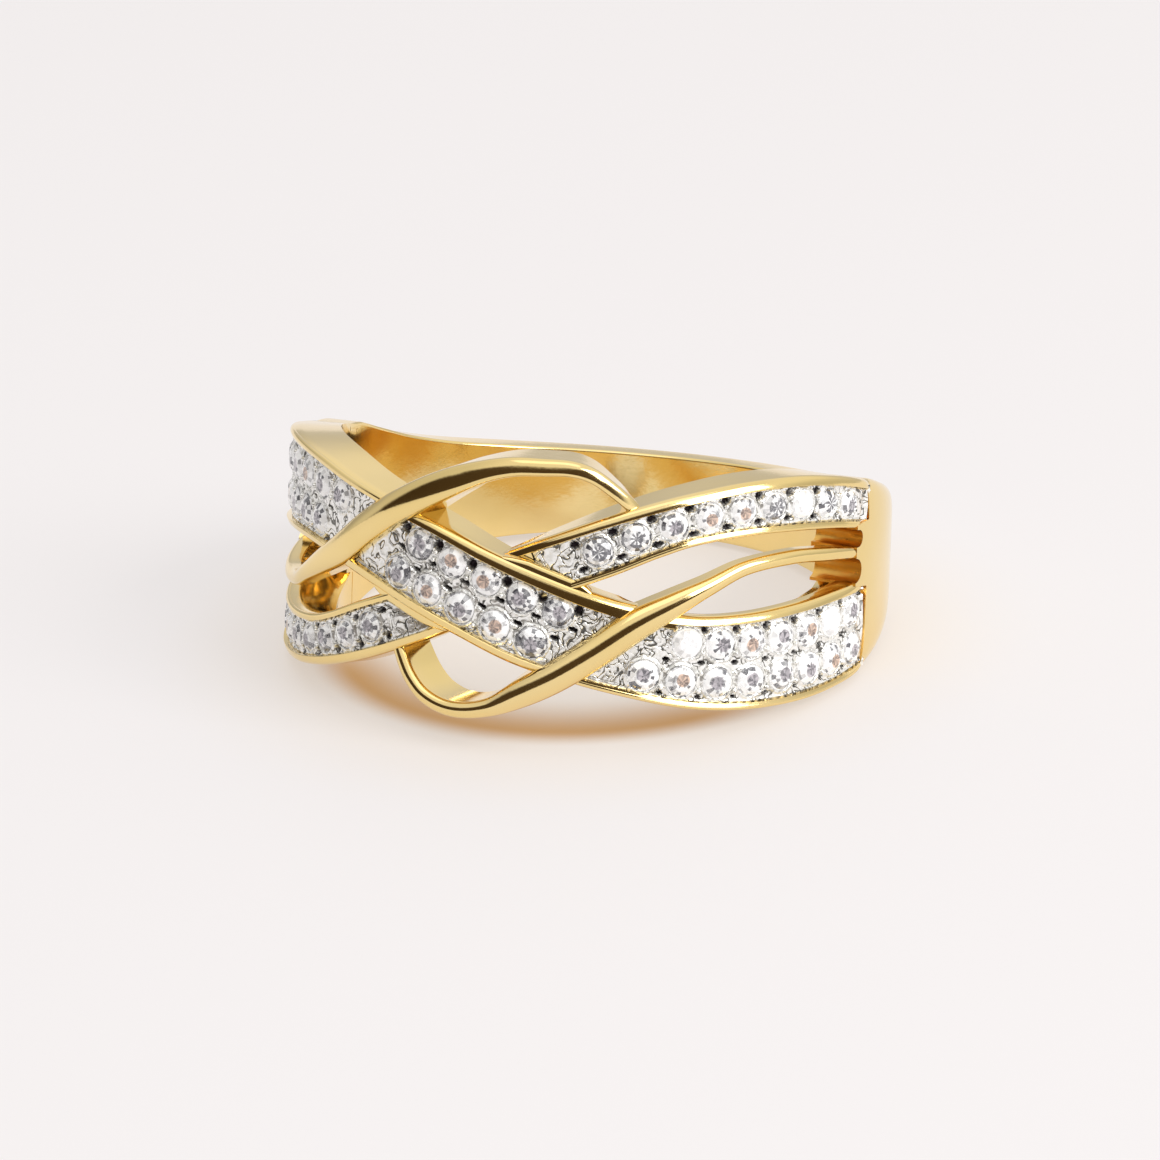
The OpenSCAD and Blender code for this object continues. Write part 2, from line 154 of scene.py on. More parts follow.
class Tone:
    """A value in a tree of nodes, so that the maths of a shader reads as a sum."""

    def __init__(self, nodes, socket):
        self.nodes, self.socket = nodes, socket

    def math(self, operation, *values):
        return self.nodes.node("ShaderNodeMath", {"operation": operation}, dict(enumerate(values)))

    def __add__(self, other):
        return self.math("ADD", self, other)

    def __radd__(self, other):
        return self.math("ADD", other, self)

    def __sub__(self, other):
        return self.math("SUBTRACT", self, other)

    def __rsub__(self, other):
        return self.math("SUBTRACT", other, self)

    def __mul__(self, other):
        return self.math("MULTIPLY", self, other)

    def __rmul__(self, other):
        return self.math("MULTIPLY", other, self)

    def away(self):
        """Its distance from nought."""
        return self.math("ABSOLUTE", self)

    def floor(self):
        return self.math("FLOOR", self)

    def sine(self):
        return self.math("SINE", self)

    def cosine(self):
        return self.math("COSINE", self)

    def turn_from(self, x):
        """The angle of the point with this y and that x, as a share of a turn."""
        return self.math("ARCTAN2", self, x) * (1 / (2 * math.pi)) + 0.5

    def clamped(self, low, high):
        """0 up to low and 1 from high on, smooth between. low may be the greater one."""
        return self.nodes.node("ShaderNodeMapRange", {"interpolation_type": "SMOOTHSTEP"},
                               {"Value": self, "From Min": low, "From Max": high})


class Nodes:
    """A tree of shader nodes, each made by one method."""

    def __init__(self, tree):
        self.tree = tree

    def node(self, kind, settings, sockets, output=0):
        node = self.tree.nodes.new(kind)
        for setting, value in settings.items():
            setattr(node, setting, value)
        self.fill(node, sockets)
        return Tone(self, node.outputs[output])

    def fill(self, node, sockets):
        for socket, value in sockets.items():
            if isinstance(value, Tone):
                self.tree.links.new(value.socket, node.inputs[socket])
            elif isinstance(value, tuple) and len(value) == 3 and node.inputs[socket].type == "RGBA":
                node.inputs[socket].default_value = (*value, 1)
            else:
                node.inputs[socket].default_value = value

    def part(self, vector, axis):
        """The x, y or z of a vector, for axis 0, 1 or 2."""
        return self.node("ShaderNodeSeparateXYZ", {}, {0: vector}, axis)

    def length(self, vector):
        return self.node("ShaderNodeVectorMath", {"operation": "LENGTH"}, {0: vector}, 1)

    def mix(self, share, a, b):
        """From colour a to colour b."""
        return self.node("ShaderNodeMix", {"data_type": "RGBA"}, {0: share, 6: a, 7: b}, 2)


class Finish(Nodes):
    """A material and the nodes that make it."""

    def __init__(self, name):
        self.material = bpy.data.materials.new(name)
        self.material.use_nodes = True
        super().__init__(self.material.node_tree)
        self.shader = self.tree.nodes["Principled BSDF"]


def yellow_gold(name, deeper, paler, relief_share, smoothest, spread):
    """Yellow gold between two tones, with faint hairlines."""
    f = Finish(name)
    place = f.node("ShaderNodeTexCoord", {}, {}, "Object")
    cloud = f.node("ShaderNodeTexNoise", {}, {"Vector": place, "Scale": 260, "Detail": 2})
    ripple = f.node("ShaderNodeTexNoise", {}, {"Vector": place, "Scale": 1500, "Detail": 3})
    grain = f.node("ShaderNodeTexNoise", {}, {"Vector": place, "Scale": 9000, "Detail": 2})
    relief = ripple * 0.8 + grain * 0.2
    bump = f.node("ShaderNodeBump", {}, {"Strength": relief_share, "Distance": 0.00004, "Height": relief})
    colour = f.mix(cloud.clamped(0.3, 0.7), deeper, paler)
    f.fill(f.shader, {"Metallic": 1.0, "Base Color": colour, "Roughness": smoothest + ripple * spread,
                      "Normal": bump})
    return f.material


gold = yellow_gold("polished_gold", (0.9, 0.69, 0.29), (0.925, 0.72, 0.34), 0.12, 0.07, 0.08)
# The ends of the right slots are rougher, and their deeper orange tone is painted shade and reflected gold.
shaded_slot_gold = yellow_gold("slot_gold_painted_shade", (0.8, 0.44, 0.09), (0.9, 0.56, 0.16), 0.5, 0.22, 0.15)

# Sections close together by the shoulders, and far apart over the back between them.
CLOSE_TO = 100
shank_angles = np.concatenate((np.arange(SHOULDER, CLOSE_TO, 0.8), np.arange(CLOSE_TO, 360 - CLOSE_TO, 2),
                               np.arange(360 - CLOSE_TO, 360.01 - SHOULDER, 0.8)))
shank_rows = read(SHANK_ROWS, shank_angles)
shank_half = (HEAD_H + (SHANK_H - HEAD_H) * shank_rows[:, 1:2]) / 2 - SHANK_INSET
shank_top = HEAD_R + SHANK_PROUD - SHANK_DROP * shank_rows[:, 2:3]
# Points across it, as shares of its half height, with more of them where the slots end.
share = np.unique(np.concatenate((np.sin(np.linspace(-math.pi / 2, math.pi / 2, 101)),
                                  np.linspace(-0.04, 0.23, 40), np.linspace(0.32, 0.53, 30))))[None]
v_out = share * shank_half
r_out = shank_top - SHANK_ROUND * (1 - np.sqrt(np.maximum(1 - np.abs(share) ** ROUND_POWER, 0)))
by_edge = np.clip((np.abs(v_out) - shank_half) / BORE_EDGE + 1, 0, 1)
r_in = BORE_R + BORE_EDGE * (1 - np.sqrt(1 - by_edge ** 2))
shank_v = np.concatenate((v_out, v_out[:, ::-1]), 1)
shank_r = np.concatenate((r_out, r_in[:, ::-1]), 1)

# At the right shoulder: middle height and half height of each slot, and from where to where
# each trough runs in. The left one has the same, half turned.
SLOTS = ((0.32, 0.42), (1.43, 0.3))
TROUGHS = ((-3.12, -0.3), (1.93, 3.2))
FRONT_REACH = 0.4
TROUGH_BACK = 2.5
FADE = 6


def slot_end(z):
    """How far the shank's front stands before the shoulder, in degrees, at a height: round
    in the two slots beside the band, and behind the shoulder where the troughs run in."""
    reach = 0 * z + FRONT_REACH
    for middle, half in SLOTS:
        inside = np.abs(z - middle) < half
        reach = np.where(inside, half - np.sqrt(np.maximum(half ** 2 - (z - middle) ** 2, 0)), reach)
    for low, high in TROUGHS:
        reach = np.where((z > low) & (z < high), -TROUGH_BACK * DEGREE, reach)
    return reach / DEGREE


fade_right = np.clip(1 - (shank_angles - SHOULDER) / FADE, 0, 1)[:, None]
fade_left = np.clip(1 - (360 - SHOULDER - shank_angles) / FADE, 0, 1)[:, None]
shank_a = shank_angles[:, None] - fade_right * slot_end(shank_v) + fade_left * slot_end(-shank_v)
shank = add_skin("shank", on_ring(shank_a, shank_v, shank_r), gold, 50, shaded_slot_gold)
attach(shank, "root")
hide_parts("ring_casting")


# Wide ribbon
# The broad strand that falls from the upper left to the lower right, of cast yellow gold,
# with a sunk trough for its white plates. Beside the slots it is hollowed from the finger.
WIDE_W = 3.3
RAIL_W = 0.25
TROUGH_D = 0.8
TROUGH_END = 86.5
RIBBON_END = 92
SLOT_WALL = 0.75
FLARE = 0.45

# The foot of each strand stands off the bore by its own small gap, so that no two of them
# share a face, and its walls start a little above it.
WIDE_FOOT = 0.006
FOOT_H = 0.02

# How far a ribbon's outer edge is rounded, across and down. Then how far the inner side of its
# rails lies under its top, and its middle where it has no trough.
EDGE_ACROSS, EDGE_DOWN = 0.15, 0.45
CREST_DOWN = 0.04
FLAT_DOWN = 0.02

# Angle, level as a share of half the head, width as a share of WIDE_W, dip.
WIDE_HALF = np.array([
    (0, 0, 0.95, 0), (10, -0.168, 0.96, 0), (20, -0.31, 0.93, 0), (30, -0.425, 0.92, 0),
    (42, -0.522, 0.96, 0), (53, -0.546, 1, 0), (65, -0.522, 1.03, 0), (75, -0.478, 1.02, 0),
    (84, -0.43, 0.98, 0.02), (92, -0.39, 0.94, 0.45)])
# Angle, share of the hollow's depth.
HOLLOW_HALF = np.array([(26, 0), (34, 1), (83, 1), (91, 0)])


def both_halves(half):
    """A table's half, turned about the middle of the front as well."""
    other = half[:0:-1].copy()
    other[:, :2] *= -1
    return np.vstack((other, half))


def level(rows, a, reach=0):
    """Height of a strand's middle line. A band has a reach, for the column of its loop."""
    at = read(rows, a)
    return at[:, 1] * HALF_H + (at[:, 2] * reach if reach else 0)


def across(rows, a, v, reach=0):
    """Angle and height of points at distances v across a strand, one row for each angle."""
    a = np.asarray(a, float)
    rise = (level(rows, a + 0.2, reach) - level(rows, a - 0.2, reach)) / (0.4 * DEGREE)
    lean = np.arctan(rise)[:, None]
    return a[:, None] - v * np.sin(lean) / DEGREE, level(rows, a, reach)[:, None] + v * np.cos(lean)


def hollow(a):
    """How deep the head is hollowed behind the slots, from 0 to 1."""
    first, last = HOLLOW_HALF[0, 0], HOLLOW_HALF[-1, 0]
    return np.where((a > first) & (a < last), read(HOLLOW_HALF, np.clip(a, first, last))[:, 1], 0)


def ribbon_sections(rows, w, foot, slot_side, plain=(0, 0)):
    """Sections of a ribbon with its trough, which is left out between the plain angles.
    slot_side is 1 if the slot on the right is above the ribbon, and -1 if it is below."""
    ends = [end + d for end in (-TROUGH_END, *plain, TROUGH_END) for d in (-0.01, 0.01)]
    a = np.concatenate((np.arange(-RIBBON_END, RIBBON_END + 0.01, 0.75), ends))
    a = np.unique(np.round(a, 3))
    at = read(rows, a)
    half = (w * at[:, 2] / 2)[:, None]
    top = (HEAD_R - at[:, 3])[:, None]
    bore = 0 * half + BORE_R + foot
    cuts, lows = [], []
    for side in (-1, 1):
        deep = hollow(side * slot_side * a)[:, None]
        low = bore + FOOT_H + (HEAD_R - SLOT_WALL - bore - FOOT_H) * deep
        lows.append(low)
        cuts.append(deep * FLARE * (low - BORE_R))
    turn = np.radians(np.linspace(0, 90, 9))[None]
    out_v, out_r = EDGE_ACROSS * (1 - np.sin(turn)), top - EDGE_DOWN * (1 - np.cos(turn))
    sunk = ((a <= plain[0]) | (a >= plain[1])) & (np.abs(a) < TROUGH_END)
    floor = top - np.where(sunk, TROUGH_D, FLAT_DOWN)[:, None]
    inner, crest = half - EDGE_ACROSS - RAIL_W / 2, top - CREST_DOWN
    v = np.concatenate((cuts[0] - half, -half, (out_v - half)[:, ::-1], -inner, -inner,
                        inner, inner, half - out_v, half, half - cuts[1]), 1)
    radius = np.concatenate((bore, lows[0], out_r[:, ::-1], crest, floor,
                             floor, crest, out_r, lows[1], bore), 1)
    angle, z = across(rows, a, v)
    return on_ring(angle, z, radius)


WIDE_ROWS = both_halves(WIDE_HALF)
wide_ribbon = add_skin("wide_ribbon", ribbon_sections(WIDE_ROWS, WIDE_W, WIDE_FOOT, 1), gold, 30)
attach(wide_ribbon, "root")
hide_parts("ring_casting")


# Narrow ribbon
# The slim strand that rises from the lower left and passes under the wide one at the
# middle of the front, of the same gold. It is soldered to the wide ribbon there.
NARROW_W = 1.85
NARROW_FOOT = 0.012
NARROW_PLAIN = (-9.9, 12.2)
NARROW_HALF = np.array([
    (0, 0, 1.02, 0.6), (8, 0.152, 1.04, 0.5), (16, 0.306, 1.06, 0.12), (25, 0.468, 1.06, 0),
    (33, 0.6, 1, 0), (41, 0.698, 0.96, 0), (52, 0.764, 0.99, 0), (64, 0.768, 1.01, 0),
    (75, 0.718, 0.97, 0), (84, 0.645, 0.92, 0.02), (92, 0.575, 0.86, 0.45)])
NARROW_ROWS = both_halves(NARROW_HALF)
narrow_sections = ribbon_sections(NARROW_ROWS, NARROW_W, NARROW_FOOT, -1, NARROW_PLAIN)
narrow_ribbon = add_skin("narrow_ribbon", narrow_sections, gold, 30)
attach(narrow_ribbon, "root")
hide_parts("ring_casting")


# Rails
# A thin half-round rail runs along each edge of both ribbons, of the same gold, left
# standing when the troughs are cut and burnished bright.
def geometry_tree(name, inputs):
    """A new tree of geometry nodes with named inputs after its geometry."""
    tree = bpy.data.node_groups.new(name, "GeometryNodeTree")
    tree.interface.new_socket("Geometry", in_out="INPUT", socket_type="NodeSocketGeometry")
    for label, kind in inputs:
        tree.interface.new_socket(label, in_out="INPUT", socket_type=kind)
    tree.interface.new_socket("Geometry", in_out="OUTPUT", socket_type="NodeSocketGeometry")
    return tree, tree.nodes.new("NodeGroupInput"), tree.nodes.new("NodeGroupOutput")


def chain(tree, *sockets):
    """Links each pair of an output and an input."""
    for output, socket in zip(sockets[::2], sockets[1::2]):
        tree.links.new(output, socket)


def made_plain(piece, tree, values):
    """Runs a tree on a piece, with values by input name, and keeps the result as its mesh."""
    modifier = piece.modifiers.new(tree.name, "NODES")
    modifier.node_group = tree
    names = {s.name: s.identifier for s in tree.interface.items_tree if s.in_out == "INPUT"}
    for label, value in values.items():
        modifier[names[label]] = value
    bpy.context.view_layer.update()
    ready = piece.evaluated_get(bpy.context.evaluated_depsgraph_get())
    mesh = bpy.data.meshes.new_from_object(ready)
    piece.modifiers.remove(modifier)
    piece.data = mesh
    return piece


rail_tree, given, result = geometry_tree("rail_along_edge", [
    ("Radius", "NodeSocketFloat"), ("Sides", "NodeSocketInt"), ("Finish", "NodeSocketMaterial")])
to_curve = rail_tree.nodes.new("GeometryNodeMeshToCurve")
ring_profile = rail_tree.nodes.new("GeometryNodeCurvePrimitiveCircle")
to_mesh = rail_tree.nodes.new("GeometryNodeCurveToMesh")
to_mesh.inputs["Fill Caps"].default_value = True
smooth = rail_tree.nodes.new("GeometryNodeSetShadeSmooth")
realized = rail_tree.nodes.new("GeometryNodeRealizeInstances")
coat = rail_tree.nodes.new("GeometryNodeSetMaterial")
chain(rail_tree, given.outputs["Geometry"], to_curve.inputs["Mesh"],
      given.outputs["Radius"], ring_profile.inputs["Radius"],
      given.outputs["Sides"], ring_profile.inputs["Resolution"],
      to_curve.outputs["Curve"], to_mesh.inputs["Curve"],
      ring_profile.outputs["Curve"], to_mesh.inputs["Profile Curve"],
      to_mesh.outputs["Mesh"], smooth.inputs["Geometry"],
      smooth.outputs["Geometry"], realized.inputs["Geometry"],
      realized.outputs["Geometry"], coat.inputs["Geometry"],
      given.outputs["Finish"], coat.inputs["Material"],
      coat.outputs["Geometry"], result.inputs["Geometry"])

RAIL_BEAD = 0.115
RAIL_END = 90.5
rail_a = np.arange(-RAIL_END, RAIL_END + 0.01, 0.5)
rail_points, rail_edges = [], []
for rows, w in ((WIDE_ROWS, WIDE_W), (NARROW_ROWS, NARROW_W)):
    at = read(rows, rail_a)
    for side in (-1, 1):
        angle, z = across(rows, rail_a, side * (w * at[:, 2:3] / 2 - EDGE_ACROSS))
        rail_edges += [(len(rail_points) + k, len(rail_points) + k + 1) for k in range(len(rail_a) - 1)]
        rail_points += list(lying(on_ring(angle, z, HEAD_R - at[:, 3:4] - RAIL_BEAD))[:, 0])
rail_mesh = bpy.data.meshes.new("rails")
rail_mesh.from_pydata([tuple(p) for p in rail_points], rail_edges, [])
rails = bpy.data.objects.new("rails", rail_mesh)
bpy.context.scene.collection.objects.link(rails)
made_plain(rails, rail_tree, {"Radius": RAIL_BEAD * MM, "Sides": 12, "Finish": gold})
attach(rails, "root")
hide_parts("ring_casting")


# Broad rails
# Some edges have a broader rail of the same gold over the thin one. It falls away outwards
# from a crest beside the stones. Along the panel it widens towards the band that crosses it.

# Crest and rim are measured inwards and outwards from the ribbon's edge, each with its growth,
# and the rest up from the head or down from the crest.
CREST_IN, CREST_GROWTH = 0.27, 0.17
RIM_OUT, RIM_GROWTH = 0.02, 0.11
CREST_PROUD = 0.05
CREST_ROUND = 0.03
SLOPE_FALL, ROUND_FALL = 0.075, 0.28
RAIL_DEPTH = 0.55


def broad_rail_sections(rows, w, side, start, end, growth):
    """Sections of a broad rail: up beside the stones, over the crest and down at the rim. Its
    angles are the ribbon's own if side is 1, and turned if it is -1."""
    a = np.arange(start, end + 0.01, 0.5)
    at = read(rows, side * a)
    half, top = w * at[:, 2:3] / 2, HEAD_R + CREST_PROUD - at[:, 3:4]
    grown = growth * np.clip((a - start) / (end - start), 0, 1)[:, None]
    crest, rim = half - CREST_IN - CREST_GROWTH * grown, half + RIM_OUT + RIM_GROWTH * grown
    share = np.sin(np.radians(np.linspace(0, 90, 15)))[None]
    fall = SLOPE_FALL * share + ROUND_FALL * (1 - (1 - share ** 3) ** (1 / 3))
    v = np.concatenate((crest + CREST_ROUND, crest - CREST_ROUND, crest - CREST_ROUND, crest - 0.02,
                        crest + (rim - crest) * share, rim, rim - 0.05), 1)
    radius = np.concatenate((top - RAIL_DEPTH, top - 0.3, top - 0.05, top - 0.015,
                             top - fall, top - RAIL_DEPTH, top - RAIL_DEPTH), 1)
    angle, z = across(rows, side * a, side * v)
    return on_ring(angle, z, radius)


for name, rows, w, start, end, growths in (("panel", WIDE_ROWS, WIDE_W, -19, 37, (1, 0.4)),
                                           ("wide", WIDE_ROWS, WIDE_W, 34, 88, (0, 0)),
                                           ("narrow", NARROW_ROWS, NARROW_W, 8, 88, (0, 0))):
    for side, part, growth in zip((1, -1), ("upper", "lower"), growths):
        sections = broad_rail_sections(rows, w, side, start, end, growth)
        rail = add_skin(f"{name}_rail_{part}", sections, gold, 30)
        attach(rail, "root")
        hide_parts("ring_casting")


# Solder
# Where the narrow ribbon comes out from under the wide one, gold solder fills the corner and
# joins them. Its outline goes out from the wide ribbon's edge and down from the head.
CORNER_START, CORNER_END = 2, 20.5
CORNER_OUT = (0.06, 0.14, 0.22, 0.28, 0.3, 0.3)
CORNER_DOWN = (0.1, 0.115, 0.145, 0.2, 0.3, 0.6)


def corner_sections(side):
    """Sections of the solder in the right corner if side is 1, in the left one if it is -1."""
    a = np.arange(CORNER_START + 0.5, CORNER_END - 0.49, 0.5)
    half = WIDE_W * read(WIDE_ROWS, side * a)[:, 2:3] / 2
    swell = np.clip((a - CORNER_START) / 5, 0, 1) * np.clip((CORNER_END - a) / 3, 0, 1)
    out = np.array(CORNER_OUT)[None] * np.sqrt(swell)[:, None]
    down = np.array(CORNER_DOWN)[None]
    v = np.concatenate((half - 0.06, half - 0.06, half + out), 1)
    radius = HEAD_R - np.concatenate((down[:, -1:], down[:, :1], down), 1) + 0 * half
    angle, z = across(WIDE_ROWS, side * a, side * v)
    return on_ring(angle, z, radius)


for side, part in ((1, "right"), (-1, "left")):
    corner = add_skin("corner_" + part, corner_sections(side), gold, 40)
    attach(corner, "root")
    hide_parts("ring_casting")


# Plain bands
# Two polished bands of half-round gold wire. Each lies in a slot, widens to cross over the
# wide ribbon and turns into a loop that is soldered to the narrow ribbon's edge.
BAND_W = 1.12
BAND_RISE = 0.386
BAND_FOOT = 0.018
BAND_BEVEL = 0.04
UPPER_REACH = 4.495
LOWER_REACH = 3.95
DOME = 0.45
LEAN = 0.3
LEAN_FROM, LEAN_OVER = -18, 16

# Angle, level as a share of half the head and as one of the loop's reach, shares of BAND_W and
# BAND_RISE.
UPPER_BAND = np.array([
    (-92, -0.17, 0, 0.38, -0.2), (-82, -0.235, 0, 0.4, 0), (-73, -0.285, 0, 0.43, 0.1),
    (-63, -0.316, 0, 0.45, 0.15), (-52, -0.268, 0, 0.46, 0.3), (-44, -0.127, 0, 0.55, 0.7),
    (-38, 0.01, 0, 0.76, 0.9), (-31, 0.19, 0, 0.98, 1), (-23, 0.46, 0, 1.02, 1),
    (-14, 0, 0.635, 1.02, 0.95), (-6, 0, 0.805, 0.9, 0.8), (1, 0, 0.922, 0.68, 0.65),
    (7, 0, 0.985, 0.56, 0.6), (13, 0, 1, 0.5, 0.6), (18, 0, 0.998, 0.46, 0.5),
    (22, 0, 0.95, 0.43, 0.3), (26, 0, 0.84, 0.41, 0), (29, 0, 0.74, 0.4, -0.3),
    (32, 0, 0.62, 0.36, -0.8)])
LOWER_BAND = np.array([
    (-18.5, 0, -0.44, 0.4, -0.8), (-16, 0, -0.61, 0.43, -0.3), (-13, 0, -0.79, 0.45, 0.1),
    (-9, 0, -0.93, 0.47, 0.4), (-3, 0, -1, 0.49, 0.6), (4, 0, -0.95, 0.56, 0.65),
    (10, 0, -0.81, 0.85, 0.8), (16, -0.655, 0, 0.95, 0.95), (23, -0.44, 0, 1, 1),
    (31, -0.18, 0, 0.98, 1), (38, -0.005, 0, 0.76, 0.9), (44, 0.127, 0, 0.55, 0.7),
    (52, 0.268, 0, 0.46, 0.3), (63, 0.316, 0, 0.45, 0.15), (73, 0.285, 0, 0.43, 0.1),
    (82, 0.235, 0, 0.4, 0), (92, 0.17, 0, 0.38, -0.2)])


def band_sections(rows, reach, slot_side, leaning):
    """Sections of a band. If it is leaning, the face of its loop is flatter and turned up.
    slot_side is 1 if it lies in the slot on the right, and -1 if in the one on the left."""
    a = np.linspace(rows[0, 0], rows[-1, 0], int((rows[-1, 0] - rows[0, 0]) / 0.6))
    at = read(rows, a)
    half, top = (BAND_W * at[:, 3] / 2)[:, None], (HEAD_R + BAND_RISE * at[:, 4])[:, None]
    base = (BORE_R + BAND_FOOT + (HEAD_R - SLOT_WALL - BORE_R) * hollow(slot_side * a))[:, None]
    low, foot, brow = base + BAND_BEVEL, base + 2 * BAND_BEVEL, top - 2 * DOME * half - 0.06
    by_loop = leaning * np.clip((a - LEAN_FROM) / LEAN_OVER, 0, 1)[:, None]
    back = 2 * LEAN * half * by_loop
    power = 2 + by_loop
    beside = np.cos(np.radians(np.linspace(180, 0, 25)))[None]
    dome = (1 - np.minimum(np.abs(beside), 1) ** power) ** (1 / power)
    face = top - 2 * DOME * half * (1 - dome) - back * (1 + beside) / 2
    v = np.concatenate((BAND_BEVEL - half, -half, -half, -half, half * beside, half, half, half,
                        half - BAND_BEVEL), 1)
    radius = np.concatenate((base, low, foot, brow, face, brow - back, foot, low, base), 1)
    angle, z = across(rows, a, v, reach)
    return on_ring(angle, z, radius)


for name, rows, reach, slot_side, leaning in (("upper_band", UPPER_BAND, UPPER_REACH, -1, 1),
                                              ("lower_band", LOWER_BAND, LOWER_REACH, 1, 0)):
    band = add_skin(name, band_sections(rows, reach, slot_side, leaning), gold, 30)
    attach(band, "root")
    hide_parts("ring_casting")


# Pave fields
# White-gold plates fill the troughs. Their tops are cut and burnished round each stone, with small beads of
# metal that hold it and drilled pits beside the rails, which are painted near black as shade.
BED_DROP = 0.14
STONE_D = 1.08
ROW_STONE_D = 1.0
PITCH = 1.27 / DEGREE
ROW_GAP = 1.3
STAGGER = 0.19
CROWN_H = 0.17
GIRDLE_H = 0.03
PAVILION_H = 0.45
TABLE_SHARE = 0.56
STONE_SUNK = 0.01
BEAD_R = 0.085
BEAD_PROUD = 0.03
# Own numbers of a stone painted with nothing but light, and of one painted with a brown reflection.
LIGHT_ONLY_STONE = 0.62
BROWN_REFLECTION_STONE = 0.9


def white_metal():
    """White gold between the stones: bright and finely cut, with painted shade in its pits, its cut grooves
    and along a line beside the rail.
    """
    f = Finish("white_metal")
    place = f.node("ShaderNodeTexCoord", {}, {}, "Object")
    # The pit attribute says where shade is painted: in the pits and along the line beside the rail.
    pit = f.node("ShaderNodeAttribute", {"attribute_name": "pit"}, {}, "Fac")
    ground = f.node("ShaderNodeAttribute", {"attribute_name": "open"}, {}, "Fac")
    cut = f.node("ShaderNodeTexNoise", {}, {"Vector": place, "Scale": 2600, "Detail": 1, "Distortion": 0.8})
    grain = f.node("ShaderNodeTexNoise", {}, {"Vector": place, "Scale": 7000, "Detail": 2})
    groove = 1 - (cut - 0.5).away().clamped(0.012, 0.045)
    scored = groove * (0.25 + ground * 0.75)
    bump = f.node("ShaderNodeBump", {}, {"Strength": 0.6, "Distance": 0.00008,
                                         "Height": cut + grain * 0.15 - scored * 0.6})
    bright = f.mix(grain.clamped(0.35, 0.6), (0.86, 0.85, 0.8), (1.0, 1.0, 0.98))
    # Painted shade in the cut grooves, which the bump also sinks.
    painted_groove_shade = f.mix(scored * 0.92, bright, (0.05, 0.045, 0.035))
    # Near black in the pits and beside the rail: painted shade.
    colour = f.mix(pit, painted_groove_shade, (0.03, 0.02, 0.026))
    f.fill(f.shader, {"Metallic": 0.7, "Base Color": colour, "Roughness": 0.14 + grain * 0.12 + pit * 0.3,
                      "Normal": bump})
    return f.material


def stone_painted_sparkle():
    """A white brilliant whose sparkle is painted: dark and bright wedges under the table and a paler rim of
    small facets stand in for reflections, with a painted shaded edge at the girdle and a faint painted glow.
    A stone's own number says which painted reflection it shows: a dark star up to 0.2, a cool dark patch
    from there, nothing but light at 0.62, and a brown patch at 0.9."""
    f = Finish("stone_painted_sparkle")
    chart = f.node("ShaderNodeUVMap", {"uv_map": "stone"}, {})
    own = f.node("ShaderNodeAttribute", {"attribute_name": "own"}, {}, "Fac")
    centred = f.node("ShaderNodeVectorMath", {"operation": "SUBTRACT"}, {0: chart, 1: (0.5, 0.5, 0.0)})
    x, y = f.part(centred, 0), f.part(centred, 1)
    radius = f.length(centred) * 2
    turn = y.turn_from(x)
    wedge = (turn * 16 + own * 5).floor()
    ring = (radius * 4.3 + 0.25).floor()
    cell = f.node("ShaderNodeCombineXYZ", {}, {0: wedge + own * 11, 1: ring, 2: own * 97})
    spark = f.node("ShaderNodeTexWhiteNoise", {"noise_dimensions": "3D"}, {0: cell}, 0)
    star = (turn * (16 * math.pi) + own * 6).cosine()
    arms = star.clamped(-0.3, 0.3) * (1 - radius.clamped(0.32, 0.6)) * (1 - own.clamped(0.2, 0.3))
    way = own * 70
    aside = f.node("ShaderNodeCombineXYZ", {}, {0: way.cosine() * 0.07, 1: way.sine() * 0.07})
    shifted = f.node("ShaderNodeVectorMath", {"operation": "SUBTRACT"}, {0: centred, 1: aside})
    patch = 1 - f.length(shifted).clamped(0.19, 0.24)
    # A stone given only light has a painted, almost white face.
    clear = own.clamped(0.6, 0.61) * (1 - own.clamped(0.64, 0.65))
    shaded = patch * own.clamped(0.12, 0.2) * (1 - clear)
    deep = (own - 0.25).away().clamped(0.08, 0.16) * (1 - own.clamped(0.5, 0.6))
    bright = spark.clamped(0.08 + deep * 0.22, 0.4 + deep * 0.3)
    # Painted glints: bright and dark facets and dark star arms stand in for reflections.
    painted_glints = f.mix(bright * (1 - arms * 0.92), (0.07, 0.07, 0.085), (1.0, 1.0, 1.0))
    # Painted reflections under the table: a cool grey patch or a brown one.
    cool = f.mix(spark.clamped(0.2, 0.9), (0.06, 0.055, 0.07), (0.46, 0.42, 0.46))
    brown = f.mix(spark.clamped(0.2, 0.9), (0.12, 0.07, 0.05), (0.72, 0.48, 0.34))
    painted_patch = f.mix(own.clamped(0.72, 0.78), cool, brown)
    lit = f.mix(clear * 0.7, f.mix(shaded * 0.92, painted_glints, painted_patch), (1.0, 1.0, 1.0))
    # A painted shaded edge at the girdle, where the stone meets its seat.
    colour = f.mix(radius.clamped(0.95, 0.99) * 0.4, lit, (0.2, 0.19, 0.19))
    # A faint painted glow: the stone's painted colour also emits.
    f.fill(f.shader, {"Metallic": 0.0, "IOR": 2.2, "Base Color": colour, "Roughness": 0.03,
                      "Emission Color": colour, "Emission Strength": 0.08})
    return f.material


def circle(count, radius, z, turn=0):
    """Points of a level circle, as a list."""
    angles = [2 * math.pi * k / count + turn for k in range(count)]
    return [(radius * math.cos(angle), radius * math.sin(angle), z) for angle in angles]


